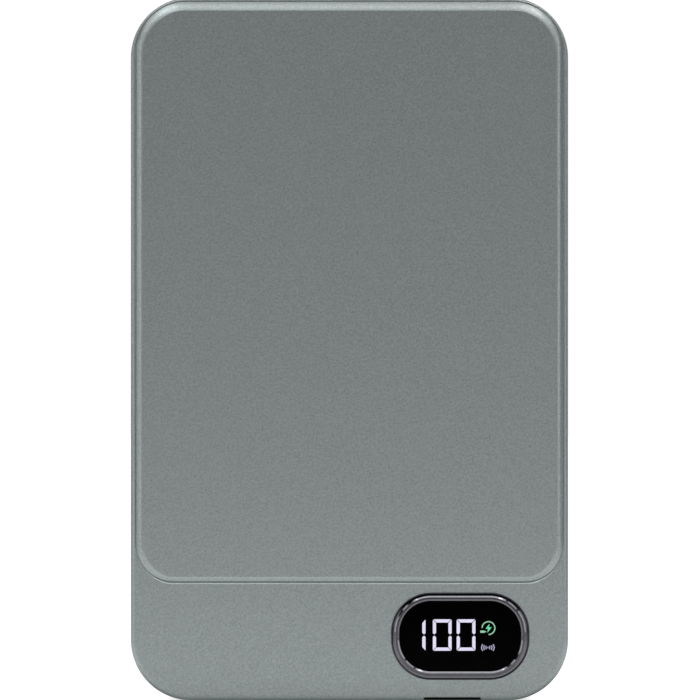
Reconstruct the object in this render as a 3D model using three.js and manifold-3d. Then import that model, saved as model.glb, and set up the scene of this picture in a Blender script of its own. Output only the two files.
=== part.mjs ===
// Slim power bank with a wireless charging pad, standing upright on its bottom edge.
// Units are millimetres. +X is to the right of the display side, +Z is up along the long side,
// and the display faces -Y. The origin is the middle of the bottom edge.
import * as THREE from "three";
import { mergeVertices } from "three/addons/utils/BufferGeometryUtils.js";
import Module from "manifold-3d";

const wasm = await Module();
wasm.setup();

// ---- Driving dimensions ----

// Case
const WIDTH = 67;
const HEIGHT = 107.64;
const DEPTH = 17.5;
const CORNER_RADIUS = 9.2;
const SIDE_WALL = 1.5;
const FACE_WALL = 1.2;
const FRONT_EDGE = 0.7;
const BACK_EDGE = 2;
const PARTING_Y = 4.6;
const GAP = 0.15;
const TOUCH_GAP = 0.05;
// How far cutting shapes run past the faces they cut, and joined shapes into what they join.
const OVERCUT = 1;
const BEYOND = 5;

// Raised panel on the front, over the cell
const PANEL_STEP = 0.55;
const PANEL_SIDE_INSET = 0.75;
const PANEL_TOP_INSET = 0.66;
const PANEL_TOP_RADIUS = 7.8;
const PANEL_BOTTOM_RADIUS = 5.8;
const PANEL_BEVEL = 1.1;
const STRIP_HEIGHT = 18.21;
const POCKET_INSET = 1.9;

// Display
const DISPLAY_X = 16.95;
const DISPLAY_Z = 9.85;
const BEZEL_WIDTH = 20.9;
const BEZEL_HEIGHT = 13.05;
const BEZEL_RADIUS = 6;
const BEZEL_RIM = 1.12;
const BEZEL_EDGE = 0.3;
const BEZEL_PROUD = 0.45;
const BEZEL_FLANGE = 1;
const BEZEL_FLANGE_DEPTH = 0.7;
const WINDOW_RECESS = 0.35;
const WINDOW_DEPTH = 1.2;
const WINDOW_EDGE = 0.2;
const GASKET_RIM = 1.1;
const MODULE_MARGIN = 0.6;
const MODULE_RADIUS = 1;

// Main board, behind the lower strip
const BOARD_WIDTH = 60.4;
const BOARD_BOTTOM = 2.1;
const BOARD_TOP = 18.4;
const BOARD_DEPTH = 1;
const BOARD_FRONT = -1.5;
const BOARD_TOP_RADIUS = 1;
const BOARD_BOTTOM_RADIUS = 7;
const SCREW_PLACES = [
  [-26, 9.5],
  [2.4, 6],
];
const SCREW_RADIUS = 0.75;
const SCREW_LENGTH = 4;
const SCREW_HEAD_RADIUS = 1.6;
const SCREW_HEAD_DEPTH = 1.1;
const SCREW_SLOT = 0.5;
const SCREW_CLEARANCE = 0.1;
const BOSS_RADIUS = 2;
const CHIP_CORNER = 0.2;
const INDUCTOR_CORNER = 0.8;

// USB-C receptacle in the bottom edge
const USB_X = 15.75;
const USB_WIDTH = 8.94;
const USB_THICKNESS = 3.16;
const USB_METAL = 0.3;
const USB_LENGTH = 7.3;
const USB_SETBACK = 0.3;
const USB_HOLE_GAP = 0.28;
const NOTCH_WIDTH = 8.65;
const NOTCH_HEIGHT = 0.4;
const TONGUE_WIDTH = 6.69;
const TONGUE_THICKNESS = 0.7;
const TONGUE_SETBACK = 1.2;
const TONGUE_BASE_LENGTH = 1.6;
const TONGUE_ROOT = 0.7;

// Power button in the right side, with its switch
const BUTTON_Z = 14.5;
const BUTTON_LENGTH = 8;
const BUTTON_THICKNESS = 2.6;
const BUTTON_FLANGE = 0.6;
const BUTTON_EDGE = 0.2;
const FLANGE_CLEARANCE = 0.1;
const BUTTON_TRAVEL = 0.35;
const NUB_SIZE = 1.6;
const NUB_RADIUS = 0.4;
const NUB_LENGTH = 0.9;
const SWITCH_DEPTH = 3.5;
const SWITCH_HEIGHT = 6;
const SWITCH_LENGTH = 3.4;
const PLUNGER_LENGTH = 2.6;
const PLUNGER_THICKNESS = 1.4;
const PLUNGER_STROKE_ROOM = 0.15;
const PLUNGER_ROOT = 1;
const PLUNGER_RADIUS = 0.4;

// Battery cell
const CELL_WIDTH = 59;
const CELL_DEPTH = 10.2;
const CELL_BOTTOM = 23;
const CELL_TOP = 103.2;
const CELL_RADIUS = 3;
const CELL_EDGE = 0.8;
const CELL_FRONT = -6.5;
const TERRACE_LENGTH = 2.8;
const TERRACE_DEPTH = 0.8;
const TERRACE_WIDTH = 54;
const TAB_WIDTH = 5;
const TAB_THICKNESS = 0.15;
const TAB_X = 8;
const TAB_CELL_GAP = 0.3;
const TAB_BEND_ABOVE = 0.9;
const TAB_BEND_BELOW = 0.1;
const TAB_LANDING = 3;
const FOAM_MARGIN = 2.5;
const SHEET_THICKNESS = 0.2;
const SHEET_SIDE_MARGIN = 0.5;
const SHEET_END_MARGIN = 1;
const THERMISTOR_LENGTH = 3;
const THERMISTOR_HEIGHT = 1.4;
const THERMISTOR_DEPTH = 0.85;
const THERMISTOR_DROP = 1.2;
const RIB_BOTTOM = 19;
const RIB_THICKNESS = 0.8;
const RIB_WIDTH = 56;
const RIB_TOP_Y = -2.3;

// Charging coil and magnet ring, centred behind the raised panel
const FLOOR_Y = 4.05;
const CARRIER_RADIUS = 28.75;
const CARRIER_WALL = 0.95;
const CARRIER_FLOOR = 0.5;
const CARRIER_DEPTH = 3.05;
const LEAD_SLOT = 9;
const SHIM_DEPTH = 0.4;
const MAGNET_OUTER = 27.3;
const MAGNET_INNER = 23.2;
const MAGNET_DEPTH = 1.8;
const MAGNET_COUNT = 16;
const MAGNET_PITCH = THREE.MathUtils.degToRad(20);
const MAGNET_SPACING = THREE.MathUtils.degToRad(1);
const FERRITE_RADIUS = 22;
const FERRITE_DEPTH = 0.6;
const COIL_OUTER = 21;
const COIL_INNER = 10;
const COIL_DEPTH = 1.2;
const LEAD_RADIUS = 0.45;
const LEAD_SPACING = 2.4;
const LEAD_COIL_GAP = 0.4;
const LEAD_BEND_ABOVE = 1;
const LEAD_BEND_MIDDLE = 0.6;
const LEAD_LANDING = 2;
const PAD_RADIUS = 28;
const PAD_DEPTH = 0.8;
const PAD_PROUD = 0.3;
const PAD_EDGE = 0.15;

// Snap hooks on the back cover's lip
const LIP_DEPTH = 1.2;
const LIP_WALL = 0.8;
const HOOK_LENGTH = 6;
const HOOK_REACH = 0.35;
const HOOK_HEIGHT = 0.5;
const HOOK_HEIGHTS = [32, 60, 88];

// Smoothness of the rounded shapes
const CORNER_STEPS = 4;
const SMALL_CORNER_STEPS = 2;
const EDGE_STEPS = 2;
const ROUND_STEPS = 48;
const SMALL_ROUND_STEPS = 16;
const LEAD_STEPS = 20;
const LEAD_SIDES = 8;

// ---- Worked-out places ----

const FRONT_Y = -DEPTH / 2;
const BACK_Y = DEPTH / 2;
const STRIP_Y = FRONT_Y + PANEL_STEP;
const COVER_Y = BACK_Y - PAD_PROUD;
const MIDDLE_Z = HEIGHT / 2;
const PANEL_WIDTH = WIDTH - 2 * PANEL_SIDE_INSET;
const PANEL_HEIGHT = HEIGHT - PANEL_TOP_INSET - STRIP_HEIGHT;
const PANEL_Z = STRIP_HEIGHT + PANEL_HEIGHT / 2;
const BOARD_BACK = BOARD_FRONT + BOARD_DEPTH;
const MOUNT_Y = BOARD_BACK + TOUCH_GAP;
const USB_Y = MOUNT_Y + USB_THICKNESS / 2;
const BUTTON_Y = MOUNT_Y + SWITCH_LENGTH / 2;
const COIL_Z = PANEL_Z;

// ---- Materials ----

function finish(color, roughness, metalness = 0) {
  return new THREE.MeshStandardMaterial({ color, roughness, metalness });
}

const satinGrey = finish(0x7f8988, 0.42, 0.6);
const softRubber = finish(0x4a5050, 0.85);
const darkChrome = finish(0x2c2d31, 0.15, 1);
const blackGlass = finish(0x050506, 0.06);
const whitePlastic = finish(0xd9d9d6, 0.6);
const blackPlastic = finish(0x1b1b1d, 0.6);
const blackFoam = finish(0x202124, 0.95);
const boardGreen = finish(0x14402c, 0.5);
const steel = finish(0xb8babd, 0.3, 1);
const nickel = finish(0xc4c0b6, 0.35, 1);
const pouchFoil = finish(0xa9adb2, 0.35, 0.8);
const amberFilm = finish(0xa8651c, 0.4);
const ferriteBlack = finish(0x2a2a2c, 0.8);
const copper = finish(0xb06a38, 0.35, 0.9);
const chipBlack = finish(0x17181a, 0.55);
const tantalum = finish(0xb98a2e, 0.5);

// ---- Shape helpers ----

// Rounded rectangle about its own centre; the top and bottom corners can differ.
function outline(width, height, topRadius, bottomRadius = topRadius) {
  const right = width / 2;
  const top = height / 2;
  const shape = new THREE.Shape();
  shape.moveTo(bottomRadius - right, -top);
  shape.lineTo(right - bottomRadius, -top);
  shape.absarc(right - bottomRadius, bottomRadius - top, bottomRadius, -Math.PI / 2, 0);
  shape.lineTo(right, top - topRadius);
  shape.absarc(right - topRadius, top - topRadius, topRadius, 0, Math.PI / 2);
  shape.lineTo(topRadius - right, top);
  shape.absarc(topRadius - right, top - topRadius, topRadius, Math.PI / 2, Math.PI);
  shape.lineTo(-right, bottomRadius - top);
  shape.absarc(bottomRadius - right, bottomRadius - top, bottomRadius, Math.PI, 1.5 * Math.PI);
  return shape;
}

// Case outline drawn in by the same amount all round.
function caseOutline(inset) {
  return outline(WIDTH - 2 * inset, HEIGHT - 2 * inset, CORNER_RADIUS - inset);
}

function panelOutline(inset) {
  return outline(
    PANEL_WIDTH - 2 * inset,
    PANEL_HEIGHT - 2 * inset,
    PANEL_TOP_RADIUS - inset,
    PANEL_BOTTOM_RADIUS - inset,
  );
}

function displayOutline(inset) {
  return outline(BEZEL_WIDTH - 2 * inset, BEZEL_HEIGHT - 2 * inset, BEZEL_RADIUS - inset);
}

// The shape's two axes and the direction it is pushed along, for each row axis.
const AXIS_X = new THREE.Vector3(1, 0, 0);
const AXIS_Y = new THREE.Vector3(0, 1, 0);
const AXIS_Z = new THREE.Vector3(0, 0, 1);
const FRAMES = {
  x: { basis: [AXIS_Y, AXIS_Z, AXIS_X], place: (u, v, low) => [low, u, v] },
  y: { basis: [AXIS_X, AXIS_Z, AXIS_Y.clone().negate()], place: (u, v, low, high) => [u, high, v] },
  z: { basis: [AXIS_X, AXIS_Y, AXIS_Z], place: (u, v, low) => [u, v, low] },
};

// Pushes a shape from low to high along one axis, with its centre at (u, v) on the other two.
// An edge of [across, along] bevels both ends.
function extrude(shape, axis, low, high, [u, v] = [0, 0], edge = null, steps = CORNER_STEPS) {
  const [across, along] = edge ?? [0, 0];
  const geometry = new THREE.ExtrudeGeometry(shape, {
    depth: high - low - 2 * along,
    curveSegments: steps,
    bevelEnabled: edge !== null,
    bevelSize: across,
    bevelThickness: along,
    bevelOffset: -across,
    bevelSegments: EDGE_STEPS,
  });
  geometry.translate(0, 0, along);
  const frame = FRAMES[axis];
  geometry.applyMatrix4(new THREE.Matrix4().makeBasis(...frame.basis));
  geometry.translate(...frame.place(u, v, low, high));
  return geometry;
}

function box(lowX, highX, lowY, highY, lowZ, highZ) {
  const geometry = new THREE.BoxGeometry(highX - lowX, highY - lowY, highZ - lowZ);
  geometry.translate((lowX + highX) / 2, (lowY + highY) / 2, (lowZ + highZ) / 2);
  return geometry;
}

// Round disc or bar along Y.
function disc(radius, low, high, [x, z], steps = ROUND_STEPS) {
  const geometry = new THREE.CylinderGeometry(radius, radius, high - low, steps);
  geometry.translate(x, (low + high) / 2, z);
  return geometry;
}

// Flat ring along Y.
function ring(outer, inner, low, high, centre) {
  const shape = new THREE.Shape().absarc(0, 0, outer, 0, 2 * Math.PI);
  shape.holes.push(new THREE.Path().absarc(0, 0, inner, 0, 2 * Math.PI, true));
  return extrude(shape, "y", low, high, centre, null, ROUND_STEPS / 2);
}

function solid(geometry) {
  const bare = new THREE.BufferGeometry();
  bare.setAttribute("position", geometry.getAttribute("position"));
  if (geometry.index) bare.setIndex(geometry.index);
  const merged = mergeVertices(bare, 1e-4);
  return new wasm.Manifold(
    new wasm.Mesh({
      numProp: 3,
      vertProperties: merged.getAttribute("position").array,
      triVerts: new Uint32Array(merged.index.array),
    }),
  );
}

// First shape with the joined shapes added and then the cut shapes taken away.
function carve(base, joined, cut) {
  let result = solid(base);
  for (const piece of joined) result = result.add(solid(piece));
  for (const piece of cut) result = result.subtract(solid(piece));
  const mesh = result.getMesh();
  const geometry = new THREE.BufferGeometry();
  geometry.setAttribute("position", new THREE.BufferAttribute(mesh.vertProperties, 3));
  geometry.setIndex(new THREE.BufferAttribute(mesh.triVerts, 1));
  const faceted = geometry.toNonIndexed();
  faceted.computeVertexNormals();
  return faceted;
}

const powerBank = new THREE.Group();

function add(name, geometry, material, parent = powerBank) {
  const mesh = new THREE.Mesh(geometry, material);
  mesh.name = name;
  parent.add(mesh);
  return mesh;
}

// ---- Case ----

const innerFront = STRIP_Y + FACE_WALL;
const innerBack = COVER_Y - FACE_WALL;
const usbShape = (grow) =>
  outline(USB_WIDTH + 2 * grow, USB_THICKNESS + 2 * grow, USB_THICKNESS / 2 + grow);
const buttonShape = (grow) =>
  outline(BUTTON_THICKNESS + 2 * grow, BUTTON_LENGTH + 2 * grow, BUTTON_THICKNESS / 2 + grow);

// Boxes along the side walls, and two in the top wall, for the hooks or for their recesses.
function hooks(grow) {
  const boxes = [];
  const half = HOOK_LENGTH / 2 + grow;
  const near = SIDE_WALL + GAP + LIP_WALL / 2;
  const far = SIDE_WALL + GAP - HOOK_REACH - grow;
  const low = PARTING_Y - LIP_DEPTH - grow;
  const high = low + HOOK_HEIGHT + 2 * grow;
  for (const side of [-1, 1]) {
    const [left, right] = [side * (WIDTH / 2 - near), side * (WIDTH / 2 - far)].sort((a, b) => a - b);
    for (const z of HOOK_HEIGHTS) boxes.push(box(left, right, low, high, z - half, z + half));
    const x = (side * WIDTH) / 4;
    boxes.push(box(x - half, x + half, low, high, HEIGHT - near, HEIGHT - far));
  }
  return boxes;
}

function makeFrontShell() {
  const body = extrude(caseOutline(0), "y", STRIP_Y, PARTING_Y + BEYOND, [0, MIDDLE_Z], [
    FRONT_EDGE,
    FRONT_EDGE,
  ]);
  const panel = extrude(panelOutline(0), "y", FRONT_Y, STRIP_Y + 2 * PANEL_STEP, [0, PANEL_Z], [
    PANEL_BEVEL,
    PANEL_STEP,
  ]);
  const behind = box(-WIDTH, WIDTH, PARTING_Y, PARTING_Y + 2 * BEYOND, -HEIGHT, 2 * HEIGHT);
  const cavity = extrude(caseOutline(SIDE_WALL), "y", innerFront, PARTING_Y + BEYOND, [0, MIDDLE_Z]);
  const pocket = extrude(panelOutline(POCKET_INSET), "y", FRONT_Y + FACE_WALL, 0, [0, PANEL_Z]);
  const shell = [behind, cavity, pocket];

  const rib = box(
    -RIB_WIDTH / 2,
    RIB_WIDTH / 2,
    innerFront - FACE_WALL / 2,
    RIB_TOP_Y,
    RIB_BOTTOM,
    RIB_BOTTOM + RIB_THICKNESS,
  );
  const bossTop = BOARD_FRONT - TOUCH_GAP;
  const bosses = SCREW_PLACES.map((place) =>
    disc(BOSS_RADIUS, innerFront - FACE_WALL / 2, bossTop, place, SMALL_ROUND_STEPS),
  );
  const pilots = SCREW_PLACES.map((place) =>
    disc(SCREW_RADIUS + SCREW_CLEARANCE, innerFront, bossTop + OVERCUT, place, SMALL_ROUND_STEPS),
  );
  const displayHole = extrude(displayOutline(-GAP), "y", FRONT_Y, innerFront + OVERCUT, [
    DISPLAY_X,
    DISPLAY_Z,
  ]);
  const usbHole = extrude(usbShape(USB_HOLE_GAP), "z", -OVERCUT, SIDE_WALL + OVERCUT, [USB_X, USB_Y]);
  const usbNotch = box(
    USB_X - NOTCH_WIDTH / 2,
    USB_X + NOTCH_WIDTH / 2,
    FRONT_Y,
    USB_Y,
    -OVERCUT,
    NOTCH_HEIGHT,
  );
  const buttonHole = extrude(
    buttonShape(GAP),
    "x",
    WIDTH / 2 - SIDE_WALL - OVERCUT,
    WIDTH / 2 + OVERCUT,
    [BUTTON_Y, BUTTON_Z],
  );

  // The hollow is cut before the rib and bosses stand up in it.
  const hollow = carve(body, [panel], shell);
  return carve(hollow, [rib, ...bosses], [
    ...pilots,
    displayHole,
    usbHole,
    usbNotch,
    buttonHole,
    ...hooks(GAP / 2),
  ]);
}

function makeBackShell() {
  const body = extrude(caseOutline(0), "y", PARTING_Y - BEYOND, COVER_Y, [0, MIDDLE_Z], [
    BACK_EDGE,
    BACK_EDGE,
  ]);
  const inFront = box(-WIDTH, WIDTH, PARTING_Y - 2 * BEYOND, PARTING_Y, -HEIGHT, 2 * HEIGHT);
  const cavity = extrude(caseOutline(SIDE_WALL), "y", PARTING_Y - BEYOND, innerBack, [0, MIDDLE_Z]);
  const recess = disc(PAD_RADIUS + GAP, COVER_Y + PAD_PROUD - PAD_DEPTH, BACK_Y + OVERCUT, [0, COIL_Z]);
  const cover = carve(body, [], [inFront, cavity, recess]);

  const lip = extrude(caseOutline(SIDE_WALL + GAP), "y", PARTING_Y - LIP_DEPTH, PARTING_Y + OVERCUT, [
    0,
    MIDDLE_Z,
  ]);
  const root = extrude(caseOutline(SIDE_WALL / 2), "y", PARTING_Y, PARTING_Y + OVERCUT, [0, MIDDLE_Z]);
  const lipHollow = extrude(
    caseOutline(SIDE_WALL + GAP + LIP_WALL),
    "y",
    PARTING_Y - LIP_DEPTH - OVERCUT,
    PARTING_Y + 2 * OVERCUT,
    [0, MIDDLE_Z],
  );
  const frame = carve(lip, [root, ...hooks(0)], [lipHollow]);
  return carve(cover, [frame], []);
}

add("front_shell", makeFrontShell(), satinGrey);
add("back_shell", makeBackShell(), satinGrey);
add(
  "charging_pad",
  extrude(
    new THREE.Shape().absarc(0, 0, PAD_RADIUS, 0, 2 * Math.PI),
    "y",
    BACK_Y - PAD_DEPTH,
    BACK_Y,
    [0, COIL_Z],
    [PAD_EDGE, PAD_EDGE],
    ROUND_STEPS / 2,
  ),
  softRubber,
);

// ---- Display ----

const displayPlace = [DISPLAY_X, DISPLAY_Z];
const bezelFront = STRIP_Y - BEZEL_PROUD;
const flangeFront = innerFront + TOUCH_GAP;
const flangeBack = flangeFront + BEZEL_FLANGE_DEPTH;
const windowFront = bezelFront + WINDOW_RECESS;
const windowBack = windowFront + WINDOW_DEPTH;
const windowInset = BEZEL_RIM + TOUCH_GAP;

add(
  "display_bezel",
  carve(
    extrude(displayOutline(0), "y", bezelFront, flangeBack, displayPlace, [BEZEL_EDGE, BEZEL_EDGE]),
    [extrude(displayOutline(-BEZEL_FLANGE), "y", flangeFront, flangeBack, displayPlace)],
    [extrude(displayOutline(BEZEL_RIM), "y", bezelFront - OVERCUT, flangeBack + OVERCUT, displayPlace)],
  ),
  darkChrome,
);
add(
  "display_window",
  extrude(displayOutline(windowInset), "y", windowFront, windowBack, displayPlace, [
    WINDOW_EDGE,
    WINDOW_EDGE,
  ]),
  blackGlass,
);
add(
  "display_gasket",
  carve(
    extrude(displayOutline(windowInset), "y", windowBack + TOUCH_GAP, flangeBack, displayPlace),
    [],
    [
      extrude(
        displayOutline(windowInset + GASKET_RIM),
        "y",
        windowFront,
        flangeBack + OVERCUT,
        displayPlace,
      ),
    ],
  ),
  blackFoam,
);
add(
  "display_module",
  extrude(
    outline(
      BEZEL_WIDTH - 2 * MODULE_MARGIN,
      BEZEL_HEIGHT - 2 * MODULE_MARGIN,
      MODULE_RADIUS,
    ),
    "y",
    flangeBack + TOUCH_GAP,
    BOARD_FRONT - TOUCH_GAP,
    displayPlace,
  ),
  whitePlastic,
);

// ---- Main board with its parts ----

const boardHeight = BOARD_TOP - BOARD_BOTTOM;
add(
  "main_board",
  carve(
    extrude(
      outline(BOARD_WIDTH, boardHeight, BOARD_TOP_RADIUS, BOARD_BOTTOM_RADIUS),
      "y",
      BOARD_FRONT,
      BOARD_BACK,
      [0, BOARD_BOTTOM + boardHeight / 2],
    ),
    [],
    SCREW_PLACES.map((place) =>
      disc(
        SCREW_RADIUS + 2 * SCREW_CLEARANCE,
        BOARD_FRONT - OVERCUT,
        BOARD_BACK + OVERCUT,
        place,
        SMALL_ROUND_STEPS,
      ),
    ),
  ),
  boardGreen,
);

function makeScrew([x, z]) {
  const headFront = MOUNT_Y;
  const headBack = headFront + SCREW_HEAD_DEPTH;
  const place = [x, z];
  const reach = SCREW_HEAD_RADIUS / 2;
  const half = SCREW_SLOT / 2;
  const slotFront = headBack - SCREW_SLOT;
  return carve(
    disc(SCREW_HEAD_RADIUS, headFront, headBack, place, SMALL_ROUND_STEPS),
    [disc(SCREW_RADIUS, headFront - SCREW_LENGTH, headFront + SCREW_SLOT, place, SMALL_ROUND_STEPS)],
    [
      box(x - reach, x + reach, slotFront, headBack + OVERCUT, z - half, z + half),
      box(x - half, x + half, slotFront, headBack + OVERCUT, z - reach, z + reach),
    ],
  );
}

SCREW_PLACES.forEach((place, index) => add(`board_screw_${index + 1}`, makeScrew(place), steel));

// Rectangular component on the back of the board: its centre, and its size across X, Y and Z.
function component(name, x, z, [sizeX, sizeY, sizeZ], material, corner = CHIP_CORNER) {
  const geometry = extrude(
    outline(sizeX, sizeZ, corner),
    "y",
    MOUNT_Y,
    MOUNT_Y + sizeY,
    [x, z],
    [corner / 2, corner / 2],
    SMALL_CORNER_STEPS,
  );
  add(name, geometry, material);
}

component("power_inductor", -10.5, 11, [7.2, 3.2, 7.2], chipBlack, INDUCTOR_CORNER);
component("controller_chip", -2.2, 12.6, [5, 0.9, 5], chipBlack);
component("wireless_chip", -19, 12.2, [5, 0.9, 5], chipBlack);
component("input_transistor", 8.6, 13.2, [3.3, 1, 3.3], chipBlack);
component("output_transistor", 13.4, 13.2, [3.3, 1, 3.3], chipBlack);
component("input_capacitor", 7.6, 8.2, [3.5, 1.9, 2.8], tantalum);
component("output_capacitor", 20, 12.8, [2.8, 1.9, 3.5], tantalum);

// ---- USB-C receptacle ----

const usbPlace = [USB_X, USB_Y];
const usbTop = USB_SETBACK + USB_LENGTH;
add(
  "usb_c_shell",
  carve(
    extrude(usbShape(0), "z", USB_SETBACK, usbTop, usbPlace),
    [],
    [extrude(usbShape(-USB_METAL), "z", USB_SETBACK - OVERCUT, usbTop - USB_METAL, usbPlace)],
  ),
  steel,
);
add(
  "usb_c_tongue",
  carve(
    extrude(
      usbShape(-USB_METAL - TOUCH_GAP),
      "z",
      usbTop - USB_METAL - TOUCH_GAP - TONGUE_BASE_LENGTH,
      usbTop - USB_METAL - TOUCH_GAP,
      usbPlace,
    ),
    [
      extrude(
        outline(TONGUE_WIDTH, TONGUE_THICKNESS, TONGUE_THICKNESS / 3),
        "z",
        USB_SETBACK + TONGUE_SETBACK,
        usbTop - TONGUE_ROOT,
        usbPlace,
      ),
    ],
    [],
  ),
  blackPlastic,
);

// ---- Power button and switch ----

const buttonPlace = [BUTTON_Y, BUTTON_Z];
const buttonOuter = WIDTH / 2;
const flangeOuter = buttonOuter - SIDE_WALL - FLANGE_CLEARANCE;
const flangeInner = flangeOuter - BUTTON_FLANGE;
const nubInner = flangeInner - NUB_LENGTH;
const plungerOuter = nubInner - TOUCH_GAP;
const switchOuter = plungerOuter - BUTTON_TRAVEL - PLUNGER_STROKE_ROOM;

add(
  "power_button",
  carve(
    extrude(buttonShape(0), "x", flangeInner, buttonOuter, buttonPlace, [BUTTON_EDGE, BUTTON_EDGE]),
    [
      extrude(buttonShape(BUTTON_FLANGE), "x", flangeInner, flangeOuter, buttonPlace),
      extrude(outline(NUB_SIZE, NUB_SIZE, NUB_RADIUS), "x", nubInner, flangeOuter, buttonPlace),
    ],
    [],
  ),
  satinGrey,
);
add(
  "tact_switch_plunger",
  extrude(
    outline(PLUNGER_THICKNESS, PLUNGER_LENGTH, PLUNGER_RADIUS),
    "x",
    switchOuter - PLUNGER_ROOT,
    plungerOuter,
    buttonPlace,
  ),
  blackPlastic,
);

const switchInner = switchOuter - SWITCH_DEPTH;
const plungerWell = switchOuter - PLUNGER_ROOT - BUTTON_TRAVEL - PLUNGER_STROKE_ROOM;
add(
  "tact_switch_base",
  carve(
    box(
      switchInner,
      switchOuter,
      MOUNT_Y,
      MOUNT_Y + SWITCH_LENGTH,
      BUTTON_Z - SWITCH_HEIGHT / 2,
      BUTTON_Z + SWITCH_HEIGHT / 2,
    ),
    [],
    [
      extrude(
        outline(PLUNGER_THICKNESS + 2 * GAP, PLUNGER_LENGTH + 2 * GAP, PLUNGER_RADIUS + GAP),
        "x",
        plungerWell,
        switchOuter + OVERCUT,
        buttonPlace,
      ),
    ],
  ),
  steel,
);

// ---- Battery cell ----

const cellBack = CELL_FRONT + CELL_DEPTH;
const cellHeight = CELL_TOP - CELL_BOTTOM;
const cellMiddleY = (CELL_FRONT + cellBack) / 2;
const terraceBottom = CELL_BOTTOM - TERRACE_LENGTH;
const terraceBack = cellMiddleY + TERRACE_DEPTH / 2;

add(
  "battery_cell",
  carve(
    extrude(
      outline(CELL_WIDTH, cellHeight, CELL_RADIUS),
      "y",
      CELL_FRONT,
      cellBack,
      [0, CELL_BOTTOM + cellHeight / 2],
      [CELL_EDGE, CELL_EDGE],
    ),
    [
      box(
        -TERRACE_WIDTH / 2,
        TERRACE_WIDTH / 2,
        cellMiddleY - TERRACE_DEPTH / 2,
        terraceBack,
        terraceBottom,
        CELL_BOTTOM + 2 * OVERCUT,
      ),
    ],
    [],
  ),
  pouchFoil,
);

// Nickel strip that steps from the cell's terrace down onto the back of the board.
function makeTab(x) {
  const high = terraceBack + TOUCH_GAP;
  const low = MOUNT_Y;
  const route = [
    [high, CELL_BOTTOM - TAB_CELL_GAP],
    [high, BOARD_TOP + TAB_BEND_ABOVE],
    [low, BOARD_TOP - TAB_BEND_BELOW],
    [low, BOARD_TOP - TAB_LANDING],
  ];
  const back = route.map(([y, z]) => [y + TAB_THICKNESS, z]).reverse();
  const shape = new THREE.Shape([...route, ...back].map(([y, z]) => new THREE.Vector2(y, z)));
  return extrude(shape, "x", x - TAB_WIDTH / 2, x + TAB_WIDTH / 2);
}

add("cell_tab_positive", makeTab(-TAB_X), nickel);
add("cell_tab_negative", makeTab(TAB_X), nickel);
add(
  "cell_foam_pad",
  extrude(
    outline(CELL_WIDTH - 2 * FOAM_MARGIN, cellHeight - 2 * FOAM_MARGIN, CELL_RADIUS),
    "y",
    FRONT_Y + FACE_WALL + TOUCH_GAP,
    CELL_FRONT - TOUCH_GAP,
    [0, CELL_BOTTOM + cellHeight / 2],
  ),
  blackFoam,
);
add(
  "insulation_sheet",
  extrude(
    outline(CELL_WIDTH - 2 * SHEET_SIDE_MARGIN, cellHeight - 2 * SHEET_END_MARGIN, CELL_RADIUS),
    "y",
    cellBack + TOUCH_GAP,
    cellBack + TOUCH_GAP + SHEET_THICKNESS,
    [0, CELL_BOTTOM + cellHeight / 2],
  ),
  amberFilm,
);
const thermistorFront = terraceBack + TOUCH_GAP;
add(
  "thermistor",
  extrude(
    outline(THERMISTOR_LENGTH, THERMISTOR_HEIGHT, 0.4 * THERMISTOR_HEIGHT),
    "y",
    thermistorFront,
    thermistorFront + THERMISTOR_DEPTH,
    [0, CELL_BOTTOM - THERMISTOR_DROP],
  ),
  chipBlack,
);

// ---- Charging coil, ferrite and magnets ----

const coilPlace = [0, COIL_Z];
const shelfY = FLOOR_Y + CARRIER_FLOOR + TOUCH_GAP;
const magnetFront = shelfY + SHIM_DEPTH + TOUCH_GAP;
const coilFront = shelfY + FERRITE_DEPTH + 2 * TOUCH_GAP;

add(
  "coil_carrier",
  carve(
    disc(CARRIER_RADIUS, FLOOR_Y, FLOOR_Y + CARRIER_DEPTH, coilPlace),
    [],
    [
      disc(CARRIER_RADIUS - CARRIER_WALL, FLOOR_Y + CARRIER_FLOOR, BACK_Y, coilPlace),
      box(
        -LEAD_SLOT / 2,
        LEAD_SLOT / 2,
        FLOOR_Y + CARRIER_FLOOR,
        BACK_Y,
        COIL_Z - CARRIER_RADIUS - OVERCUT,
        COIL_Z - CARRIER_RADIUS + CARRIER_WALL + 2 * OVERCUT,
      ),
    ],
  ),
  whitePlastic,
);
add(
  "magnet_shim",
  ring(MAGNET_OUTER, MAGNET_INNER, shelfY, shelfY + SHIM_DEPTH, coilPlace),
  steel,
);
add(
  "ferrite_sheet",
  disc(FERRITE_RADIUS, shelfY, shelfY + FERRITE_DEPTH, coilPlace),
  ferriteBlack,
);
add(
  "charging_coil",
  ring(COIL_OUTER, COIL_INNER, coilFront, coilFront + COIL_DEPTH, coilPlace),
  copper,
);

// Arc magnets run round from one side of the lead slot to the other.
const arrayStart = -Math.PI / 2 + (2 * Math.PI - MAGNET_COUNT * MAGNET_PITCH) / 2;
for (let index = 0; index < MAGNET_COUNT; index++) {
  const start = arrayStart + index * MAGNET_PITCH + MAGNET_SPACING / 2;
  const end = start + MAGNET_PITCH - MAGNET_SPACING;
  const shape = new THREE.Shape();
  shape.absarc(0, 0, MAGNET_OUTER, start, end);
  shape.absarc(0, 0, MAGNET_INNER, end, start, true);
  const number = String(index + 1).padStart(2, "0");
  add(
    `magnet_${number}`,
    extrude(shape, "y", magnetFront, magnetFront + MAGNET_DEPTH, coilPlace, null, SMALL_CORNER_STEPS),
    nickel,
  );
}

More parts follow.
